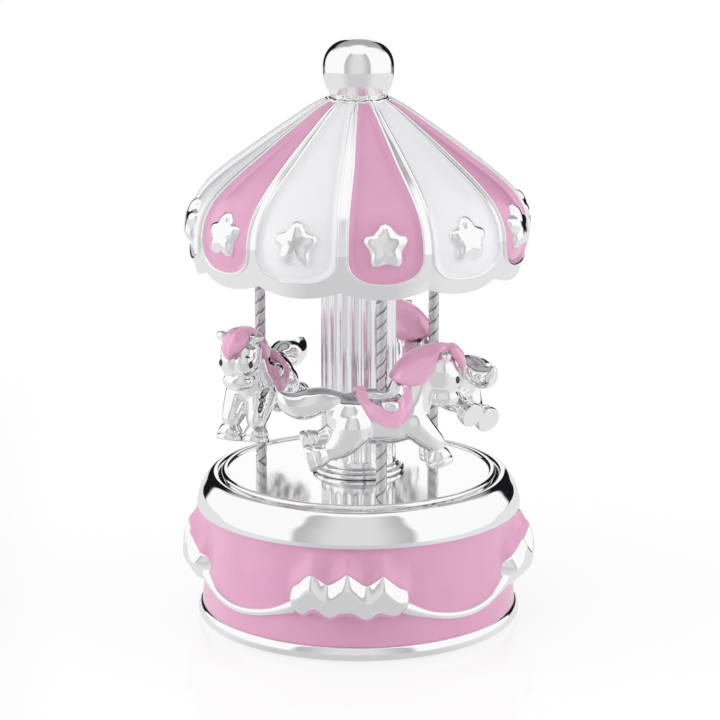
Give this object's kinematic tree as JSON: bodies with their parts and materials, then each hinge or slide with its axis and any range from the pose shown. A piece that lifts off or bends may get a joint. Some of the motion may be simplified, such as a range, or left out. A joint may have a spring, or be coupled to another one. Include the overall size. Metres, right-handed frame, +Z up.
{
  "type": "carousel music box",
  "caption": "Wind-up musical carousel: a round enamelled base holds a spring movement that turns a mirrored floor with ponies on twisted poles under a petal canopy.",
  "frame": {"origin": "centre of the base on the surface it stands on", "axes": "+Z up along the column, X and Y through the four base ornaments, the ornament at -Y faces the picture"},
  "size_m": [0.1046, 0.1046, 0.17],
  "materials": {
    "silver_plate": "polished silver plate",
    "pink_enamel": "glossy pink enamel",
    "mirror": "flat mirror",
    "steel": "plain steel",
    "brass": "plain brass"
  },
  "bodies": {
    "base": {"base_drum": "silver_plate", "base_enamel": "pink_enamel", "bottom_plate": "steel", "bottom_plate_screws": "steel", "spindle_bush": "brass", "movement_bedplate": "brass", "movement_screws": "steel", "comb": "steel", "comb_screws": "steel", "cylinder_bracket": "brass", "governor_frame": "brass"},
    "carousel": {"spring_barrel": "brass", "mainspring": "steel", "spindle": "steel", "turntable": "steel", "mirror_disc": "mirror", "mirror_bezel": "silver_plate", "coupling_nut": "steel", "column_plinth": "silver_plate", "column": "silver_plate", "pole_1": "silver_plate", "pole_2": "silver_plate", "pole_3": "silver_plate", "horse_1": "silver_plate", "horse_2": "silver_plate", "horse_3": "silver_plate", "pole_nuts": "steel", "ceiling_plate": "steel", "canopy": "silver_plate", "canopy_enamel": "pink_enamel", "finial": "silver_plate", "tie_rod": "steel"},
    "key": {"winding_arbor": "steel", "winding_key": "steel"},
    "cylinder": {"cylinder": "brass", "cylinder_arbor": "steel", "cylinder_pinion": "brass", "cylinder_wheel": "brass"},
    "governor_wheel": {"governor_wheel": "brass", "governor_arbor": "steel"},
    "fly": {"governor_worm": "steel", "governor_fan": "brass"}
  },
  "joints": [
    {"name": "carousel_spin", "type": "hinge", "parent": "base", "child": "carousel", "pos_m": [0, 0, 0.04], "axis": [0, 0, 1], "continuous": true},
    {"name": "key_wind", "type": "hinge", "parent": "base", "child": "key", "pos_m": [0, 0, 0.004], "axis": [0, 0, 1], "range_deg": [0, 1530]},
    {"name": "cylinder_spin", "type": "hinge", "parent": "base", "child": "cylinder", "pos_m": [0.02, 0, 0.026], "axis": [1, 0, 0], "continuous": true},
    {"name": "governor_wheel_spin", "type": "hinge", "parent": "base", "child": "governor_wheel", "pos_m": [0.033, 0.00779, 0.0215], "axis": [1, 0, 0], "continuous": true},
    {"name": "governor_spin", "type": "hinge", "parent": "base", "child": "fly", "pos_m": [0.0346, 0.01225, 0.02], "axis": [0, 0, 1], "continuous": true}
  ],
  "couplings": [
    {"joint": "cylinder_spin", "follows": "carousel_spin", "ratio": 3},
    {"joint": "governor_wheel_spin", "follows": "carousel_spin", "ratio": -10.5},
    {"joint": "governor_spin", "follows": "carousel_spin", "ratio": 126}
  ]
}
